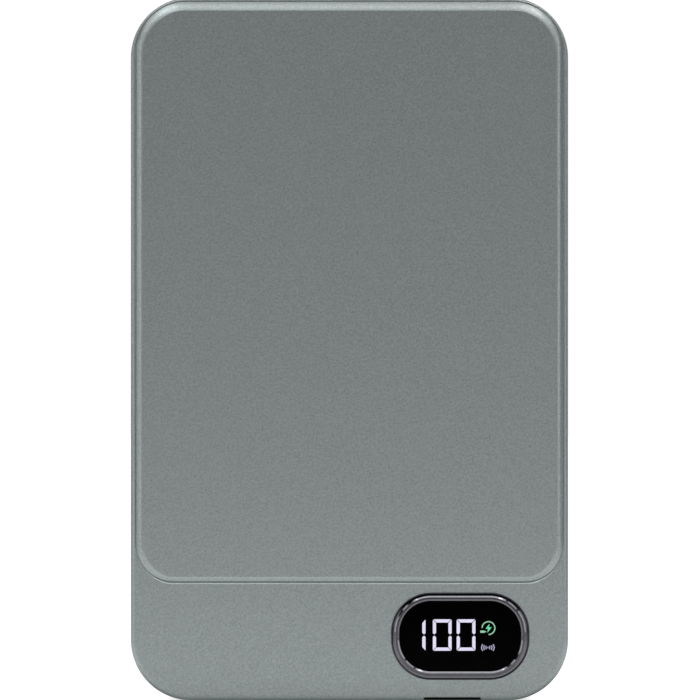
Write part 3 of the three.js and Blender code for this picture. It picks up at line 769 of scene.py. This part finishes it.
window_low, window_high = box_mm("display_window")
BEZEL_RIM = 1.12
BEZEL_CLEARANCE = 0.05
# Inset from the outer edge and height off the strip, negative towards the front.
BEZEL_PROFILE = [
    (0.00, 0.30), (0.00, 0.00), (0.02, -0.02), (0.13, -0.32), (0.36, -0.345), (0.58, -0.445), (0.60, -0.45),
    (0.64, -0.44), (0.84, -0.44), (0.87, -0.44), (1.10, -0.33), (1.12, -0.30), (1.12, -0.05),
]


def make_bezel():
    back = display_high.y
    flange = INNER_FRONT_Y + BEZEL_CLEARANCE
    rings = [(bezel_outline.drawn(BEZEL_RIM), back), (bezel_outline.drawn(-BEZEL_FLANGE), back)]
    rings += [(bezel_outline.drawn(-BEZEL_FLANGE), flange), (bezel_outline.drawn(0), flange)]
    rings += [(bezel_outline.drawn(inset), STRIP_Y + height) for inset, height in BEZEL_PROFILE]
    return tube("display_bezel_ring", rings)


bezel = smooth(make_bezel(), 9)
paint_with(bezel, chrome)
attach(bezel, "case")
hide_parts("display_bezel")

WINDOW_RADIUS = BEZEL_RADIUS - 1.2
WINDOW_EDGE = 0.1
window_outline = rounded(
    window_high.x - window_low.x, window_high.z - window_low.z, WINDOW_RADIUS, DISPLAY
)
window_rings = [(window_outline.drawn(0.0), window_high.y)]
window_rings += fillet(window_outline, 0.0, window_low.y, WINDOW_EDGE, 1)
window = smooth(loft("display_lens", window_rings))
paint_with(window, glass)
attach(window, "case")
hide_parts("display_window")

DIGIT_WIDTH = 2.88
DIGIT_HEIGHT = 4.81
STROKE = 0.495
MITRE_GAP = 0.09
TIP_GAP = 0.1
CUT_CORNER = 0.06
DIGIT_RISE = 0.165
LIT_DEPTH = 0.03
light_front = window_low.y - LIT_DEPTH / 3


def prisms(name, polygons, material, depth=LIT_DEPTH):
    """Thin plates from outlines given in millimetres from the display's centre."""
    skin = Skin()
    for polygon in polygons:
        points = [(DISPLAY[0] + u, DISPLAY[1] + v) for u, v in polygon]
        loops = [skin.loop(points, light_front), skin.loop(points, light_front + depth)]
        skin.bridge(loops)
        skin.cap(loops[0])
        skin.cap(loops[1])
    obj = skin.finish(name)
    paint_with(obj, material)
    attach(obj, "case")
    return obj


def digit_segments(right, names):
    """Seven-segment strokes of one digit whose right edge is given. Names are a to f."""
    left = right - DIGIT_WIDTH
    top = DIGIT_RISE + DIGIT_HEIGHT / 2
    middle = DIGIT_RISE
    shapes = {}
    for name, edge, inward in (("b", right, -1), ("f", left, 1)):
        shapes[name] = [
            (edge, top - MITRE_GAP - CUT_CORNER),
            (edge, middle + TIP_GAP + STROKE * 0.35),
            (edge + inward * STROKE * 0.5, middle + TIP_GAP),
            (edge + inward * STROKE, middle + TIP_GAP + STROKE * 0.5),
            (edge + inward * STROKE, top - STROKE - MITRE_GAP),
            (edge + inward * CUT_CORNER, top - MITRE_GAP),
        ]
    shapes["c"] = [(u, 2 * middle - v) for u, v in shapes["b"]]
    shapes["e"] = [(u, 2 * middle - v) for u, v in shapes["f"]]
    shapes["a"] = [
        (left + MITRE_GAP, top),
        (right - MITRE_GAP, top),
        (right - STROKE - MITRE_GAP / 2, top - STROKE),
        (left + STROKE + MITRE_GAP / 2, top - STROKE),
    ]
    shapes["d"] = [(u, 2 * middle - v) for u, v in shapes["a"]]
    return [shapes[name] for name in names]


def arc_stroke(centre, radius, start, end, width, steps):
    """Outline of a curved stroke between two angles in degrees."""
    angles = np.radians(np.linspace(start, end, steps + 1))
    run = np.stack([np.cos(angles), np.sin(angles)], axis=1)
    outer = centre + (radius + width / 2) * run
    inner = centre + (radius - width / 2) * run[::-1]
    return [*outer, *inner]


def moved(points, place):
    return [(place[0] + u, place[1] + v) for u, v in points]


DIGIT_EDGES = (-5.31, -1.31, 2.34)
digits = digit_segments(DIGIT_EDGES[0], "bc")
digits += digit_segments(DIGIT_EDGES[1], "abcdef") + digit_segments(DIGIT_EDGES[2], "abcdef")
prisms("display_digits", digits, lit("display_light", rgb(226, 223, 246)))

SIGN = (4.33, 1.23)
SIGN_RADIUS = 0.98
SIGN_STROKE = 0.17
bolt = [(0.15, 0.66), (-0.46, -0.12), (-0.08, -0.1), (-0.18, -0.72), (0.5, 0.12), (0.08, 0.12)]
plug = [(-1.25, -0.38), (-0.68, -0.38), (-0.52, -0.46), (-0.36, -0.49), (-0.36, -0.61),
        (-0.52, -0.64), (-0.68, -0.72), (-1.25, -0.72)]
sign_parts = [arc_stroke(SIGN, SIGN_RADIUS, 178, -88, SIGN_STROKE, 40), moved(plug, SIGN)]
prisms("charge_sign", sign_parts, lit("charge_light", rgb(150, 205, 172)))
prisms("charge_bolt", [moved(bolt, SIGN)], lit("bolt_light", rgb(104, 222, 168)))

SIGNAL = (4.24, -1.76)
WAVE_STROKE = 0.16
dot = [(-0.1, -0.07), (0.1, -0.07), (0.1, 0.07), (-0.1, 0.07)]
# How far out each wave lies, its radius and half its angle.
WAVES = [(0.3, 0.34, 42), (0.62, 0.5, 42), (0.96, 0.72, 43)]
signal_polygons = [moved(dot, SIGNAL)]
for reach, radius, half in WAVES:
    for side, facing in ((1, 0), (-1, 180)):
        centre = (SIGNAL[0] + side * (reach - radius), SIGNAL[1])
        signal_polygons.append(arc_stroke(centre, radius, facing - half, facing + half, WAVE_STROKE, 12))
prisms("signal_sign", signal_polygons, lit("signal_light", rgb(172, 168, 194)))

# ---- USB-C receptacle ----

USB_METAL = 0.3
USB_LIP = 0.08


def make_usb_shell():
    outer, inner = usb_outline(), usb_outline(-USB_METAL)
    back = usb_high.z
    lip_end = usb_low.z + USB_LIP
    rings = [
        (outer.drawn(0), back), (outer.drawn(0), lip_end), (outer.drawn(USB_LIP), usb_low.z),
        (inner.drawn(-USB_LIP), usb_low.z), (inner.drawn(0), lip_end), (inner.drawn(0), back - USB_METAL),
    ]
    return loft("usb_c_shell_drawn", rings, "z")


usb_shell = smooth(make_usb_shell())
paint_with(usb_shell, port_steel)
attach(usb_shell, "case")
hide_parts("usb_c_shell")

tongue_low, tongue_high = box_mm("usb_c_tongue")
TONGUE_WIDTH = 6.69
TONGUE_THICKNESS = 0.7
TONGUE_BASE = 1.6
TONGUE_CHAMFER = 0.1
BLADE_ROOT = 0.4
BLADE_TAPER = (0.12, 0.2)


def make_tongue():
    blade = rounded(TONGUE_WIDTH, TONGUE_THICKNESS, TONGUE_THICKNESS / 2 - 0.02, USB, steps=8)
    base = usb_outline(-USB_METAL - 0.05)
    step = tongue_high.z - TONGUE_BASE
    rings = [
        (base.drawn(0), tongue_high.z),
        (base.drawn(0), step + TONGUE_CHAMFER),
        (base.drawn(TONGUE_CHAMFER), step),
    ]
    body = loft("usb_c_tongue_moulded", rings, "z")
    blade_rings = [
        (blade.drawn(0), step + BLADE_ROOT),
        (blade.drawn(0), tongue_low.z + BLADE_TAPER[1]),
        (blade.drawn(BLADE_TAPER[0]), tongue_low.z),
    ]
    join_solid(body, [loft("blade_tool", blade_rings, "z")], "UNION")
    return body


tongue = smooth(make_tongue())
paint_with(tongue, black_plastic)
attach(tongue, "case")
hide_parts("usb_c_tongue")

CONTACT_COUNT = 12
CONTACT_PITCH = 0.5
CONTACT_WIDTH = 0.28
CONTACT_SUNK = 0.03
CONTACT_PROUD = 0.02
CONTACT_SETBACK = 0.45


def make_contacts():
    skin = Skin()
    for face in (-1, 1):
        inner = USB[1] + face * (TONGUE_THICKNESS / 2 - CONTACT_SUNK)
        outer = USB[1] + face * (TONGUE_THICKNESS / 2 + CONTACT_PROUD)
        for index in range(CONTACT_COUNT):
            x = USB[0] + (index - (CONTACT_COUNT - 1) / 2) * CONTACT_PITCH
            low, high = tongue_low.z + CONTACT_SETBACK, tongue_high.z - TONGUE_BASE
            half = CONTACT_WIDTH / 2
            points = [(x - half, low), (x + half, low), (x + half, high), (x - half, high)]
            loops = [skin.loop(points, inner), skin.loop(points, outer)]
            skin.bridge(loops)
            skin.cap(loops[0])
            skin.cap(loops[1])
    return skin.finish("usb_c_contacts")


contacts = make_contacts()
paint_with(contacts, contact_gold)
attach(contacts, "case")

# ---- Power button ----

button_low, button_high = box_mm("power_button")
BUTTON_FLANGE = 0.6
BUTTON_EDGE = 0.22
BUTTON_DISH = [(0.5, 0.03), (0.9, 0.07), (1.2, 0.08)]
NUB_SIZE = 1.6
NUB_RADIUS = 0.4
NUB_CHAMFER = 0.1
NUB_ROOT = 0.2


def make_button():
    outline = button_outline()
    face = button_high.x
    flange_high = WIDTH / 2 - SIDE_WALL - 0.1
    flange_low = flange_high - BUTTON_FLANGE
    rings = [(outline.drawn(-BUTTON_FLANGE), flange_low), (outline.drawn(-BUTTON_FLANGE), flange_high)]
    rings += [(outline.drawn(0), flange_high)]
    rings += fillet(outline, 0, face, BUTTON_EDGE, -1)
    rings += [(outline.drawn(inset), face - drop) for inset, drop in BUTTON_DISH]
    body = loft("power_button_cap", rings, "x")
    nub = rounded(NUB_SIZE, NUB_SIZE, NUB_RADIUS, BUTTON, steps=6)
    nub_rings = [
        (nub.drawn(NUB_CHAMFER), button_low.x),
        (nub.drawn(0), button_low.x + NUB_CHAMFER),
        (nub.drawn(0), flange_high - NUB_ROOT),
    ]
    join_solid(body, [loft("nub_tool", nub_rings, "x")], "UNION")
    return body


power_button = smooth(make_button())
paint_with(power_button, button_paint)
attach(power_button, "button")
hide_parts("power_button")

# ---- Inner pieces keep their CAD shapes ----

INNER_MATERIALS = {
    "display_gasket": foam("black_foam", rgb(40, 40, 43)),
    "display_module": moulded("module_plastic", rgb(224, 224, 220), 0.55),
    "main_board": solder_mask("board", rgb(34, 96, 66)),
    "board_screw": plain_metal("screw_steel", rgb(176, 178, 182), 0.25, grain_mm=0.3),
    "power_inductor": moulded("inductor_black", rgb(44, 44, 47), 0.7, 0.3, 0.02),
    "chip": moulded("chip_black", rgb(30, 30, 33), 0.5, 0.15, 0.008),
    "capacitor": moulded("capacitor", rgb(196, 150, 62), 0.45),
    "tact_switch_plunger": moulded("plunger_plastic", rgb(28, 28, 30), 0.5),
    "tact_switch_base": plain_metal("switch_steel", rgb(182, 182, 184), 0.3, grain_mm=0.4),
    "battery_cell": pouch_foil("pouch_foil", rgb(186, 190, 195)),
    "cell_tab": plain_metal("nickel_strip", rgb(204, 200, 190), 0.25, (1.0, 1.0, 8.0)),
    "insulation_sheet": amber_film("amber_film", rgb(196, 128, 44)),
    "coil_carrier": moulded("carrier_plastic", rgb(212, 212, 208), 0.6),
    "magnet_shim": plain_metal("shim_steel", rgb(150, 152, 156), 0.38),
    "ferrite_sheet": moulded("ferrite", rgb(62, 62, 64), 0.75, 0.4, 0.02),
    "charging_coil": wound_copper("coil_copper", rgb(198, 120, 66), PAD),
    "coil_lead": plain_metal("lead_copper", rgb(190, 110, 60), 0.32, grain_mm=0.2),
    "magnet": plain_metal("magnet_nickel", rgb(192, 192, 192), 0.2, (1.0, 1.0, 1.0), 1.5),
}
INNER_NAMES = {
    "cell_foam_pad": "display_gasket",
    "controller_chip": "chip",
    "wireless_chip": "chip",
    "input_transistor": "chip",
    "output_transistor": "chip",
    "thermistor": "chip",
    "input_capacitor": "capacitor",
    "output_capacitor": "capacitor",
}


def inner_material(name):
    known = INNER_NAMES.get(name, name)
    if known in INNER_MATERIALS:
        return INNER_MATERIALS[known]
    return INNER_MATERIALS[max((key for key in INNER_MATERIALS if known.startswith(key)), key=len)]


for name, node in nodes.items():
    if not node.hide_render:
        node.data.materials.clear()
        node.data.materials.append(inner_material(name))

# ---- Studio ----

FRAME_HEIGHT = 107.18
BASE_CROP = 0.06
CAMERA_DISTANCE = 1000.0
CAMERA_X = 0.08
FLOOR_TONE = 0.3
FLOOR_GLOW = 0.838
GLOW_REACH = 300.0
SURROUND = 0.7
SURROUND_START = -0.25
SURROUND_FULL = 0.3
BACKDROP = 1.05
FLOOR_SIZE = 6000
FLOOR_GLOW_SEEN = 1.0
# Painted contact shadow round the case's foot: the share of glow it keeps, and how far it reaches in under
# the case and out from it, in millimetres.
FOOT_SHADOW_GLOW = 0.4
FOOT_SHADOW_INSIDE = 2.0
FOOT_SHADOW_REACH = 12.0
SEEN_FOOT_SHADOW_REACH = 4.0


def make_camera():
    data = bpy.data.cameras.new("camera")
    data.sensor_width = 36.0
    data.lens = data.sensor_width * CAMERA_DISTANCE / FRAME_HEIGHT
    data.clip_start, data.clip_end = 0.05, 20.0
    camera = bpy.data.objects.new("camera", data)
    scene.collection.objects.link(camera)
    camera.location = Vector((CAMERA_X, STRIP_Y - CAMERA_DISTANCE, FRAME_HEIGHT / 2 + BASE_CROP)) * MM
    camera.rotation_euler = (math.pi / 2, 0, 0)
    scene.camera = camera


def area_light(name, place, target, size, power, colour=(1, 1, 1)):
    """Soft box at place, aimed at target, both in millimetres; size in metres."""
    data = bpy.data.lights.new(name, "AREA")
    data.shape = "RECTANGLE"
    data.size, data.size_y = size
    data.energy = power
    data.color = colour
    light = bpy.data.objects.new(name, data)
    scene.collection.objects.link(light)
    light.location = Vector(place) * MM
    aim = (Vector(target) - Vector(place)).normalized()
    light.rotation_mode = "QUATERNION"
    light.rotation_quaternion = aim.to_track_quat("-Z", "Y")
    light.visible_camera = False
    return light


def make_world():
    """White to the camera; to the object dim in front and bright from the sides round to the back."""
    world = bpy.data.worlds.new("studio")
    scene.world = world
    world.use_nodes = True
    tree = world.node_tree
    tree.nodes.clear()

    def background(name, strength):
        made = tree.nodes.new("ShaderNodeBackground")
        made.name = name
        made.inputs["Color"].default_value = (1, 1, 1, 1)
        made.inputs["Strength"].default_value = strength
        return made

    direction = tree.nodes.new("ShaderNodeTexCoord")
    split = tree.nodes.new("ShaderNodeSeparateXYZ")
    tree.links.new(direction.outputs["Generated"], split.inputs[0])
    ramp = tree.nodes.new("ShaderNodeMapRange")
    ramp.interpolation_type = "SMOOTHSTEP"
    ramp.inputs["From Min"].default_value = SURROUND_START
    ramp.inputs["From Max"].default_value = SURROUND_FULL
    tree.links.new(split.outputs["Y"], ramp.inputs["Value"])
    surround = background("surround", SURROUND)
    tree.links.new(ramp.outputs["Result"], surround.inputs["Color"])
    path = tree.nodes.new("ShaderNodeLightPath")
    mix = tree.nodes.new("ShaderNodeMixShader")
    tree.links.new(path.outputs["Is Camera Ray"], mix.inputs[0])
    tree.links.new(surround.outputs[0], mix.inputs[1])
    tree.links.new(background("seen", BACKDROP).outputs[0], mix.inputs[2])
    output = tree.nodes.new("ShaderNodeOutputWorld")
    tree.links.new(mix.outputs[0], output.inputs["Surface"])


def make_floor():
    """Floor that glows round the case and looks white to the camera up to the case's flat foot, where both
    glows fade into a painted contact shadow.
    """
    skin = Skin("z")
    loop = skin.loop(rounded(FLOOR_SIZE, FLOOR_SIZE, 10, steps=2).drawn(), 0.0)
    skin.cap(loop)
    floor = skin.finish("floor")
    s = Shader("floor")
    s.set(Base_Color=(FLOOR_TONE, FLOOR_TONE, FLOOR_TONE, 1), Roughness=0.8)
    s.set(Emission_Color=(1, 1, 1, 1))
    place = s.node("ShaderNodeSeparateXYZ")
    s.link(s.space, place.inputs[0])
    beside = s.add(s.add(place.outputs["X"], 0.0, "ABSOLUTE"), WIDTH / 2 * MM, "SUBTRACT")
    before = s.add(s.add(place.outputs["Y"], 0.0, "ABSOLUTE"), -FRONT_Y * MM, "SUBTRACT")
    away = s.add(beside, before, "MAXIMUM")
    spread_out = s.spread(away, FLOOR_GLOW, 0.0, FOOT_SHADOW_REACH * MM, GLOW_REACH * MM)
    # Near the foot the glow drops to a share, and under the case to nothing: a painted contact shadow,
    # which also darkens the case's bottom edge.
    unseen = s.add(spread_out, s.spread(away, FOOT_SHADOW_GLOW, 1.0, 0.0, FOOT_SHADOW_REACH * MM), "MULTIPLY")
    path = s.node("ShaderNodeLightPath")
    outside = s.spread(away, 0.0, 1.0, -FOOT_SHADOW_INSIDE * MM, 0.0)
    # To the camera the floor also darkens at the case's flat foot: a painted contact shadow.
    flat = s.add(s.add(beside, CORNER_RADIUS * MM), before, "MAXIMUM")
    shown = s.spread(flat, 0.0, FLOOR_GLOW_SEEN, -FOOT_SHADOW_INSIDE * MM, SEEN_FOOT_SHADOW_REACH * MM)
    shown = s.add(shown, path.outputs["Is Camera Ray"], "MULTIPLY")
    glow = s.add(s.add(unseen, outside, "MULTIPLY"), shown, "MAXIMUM")
    s.link(glow, s.surface.inputs["Emission Strength"])
    paint_with(floor, s.material)


make_camera()
make_world()
make_floor()
CENTRE = (0, 0, HEIGHT / 2)
LEFT_AIM = (-20, 0, 90)
RIGHT_AIM = (20, 0, 90)
LOW_AIM = (0, 0, 35)
LONG_BAR = (0.5, 0.12)
THIN_BAR = (0.6, 0.06)
TALL_BAR = (0.12, 0.4)
SMALL_BOX = (0.16, 0.16)
LARGE_BOX = (0.2, 0.2)
area_light("key_front", (0, -389, 443), CENTRE, LONG_BAR, 0.479)
area_light("key_top", (0, -275, 530), CENTRE, LONG_BAR, 0.138)
area_light("top_left", (-211, -354, 482), LEFT_AIM, SMALL_BOX, 0.36)
area_light("top_right", (211, -354, 482), RIGHT_AIM, SMALL_BOX, 0.382, (1, 0.9, 0.91))
area_light("upper_left", (-356, -354, 371), LEFT_AIM, LARGE_BOX, 0.22)
area_light("upper_right", (356, -354, 371), RIGHT_AIM, LARGE_BOX, 0.225)
area_light("left_front", (-421, -353, 54), CENTRE, TALL_BAR, 0.284)
area_light("right_front", (421, -353, 54), CENTRE, TALL_BAR, 0.286)
area_light("left", (-516, -188, 54), CENTRE, TALL_BAR, 0.184)
area_light("low_front", (0, -600, 35), LOW_AIM, THIN_BAR, 0.071)
scene.view_settings.view_transform = "Standard"
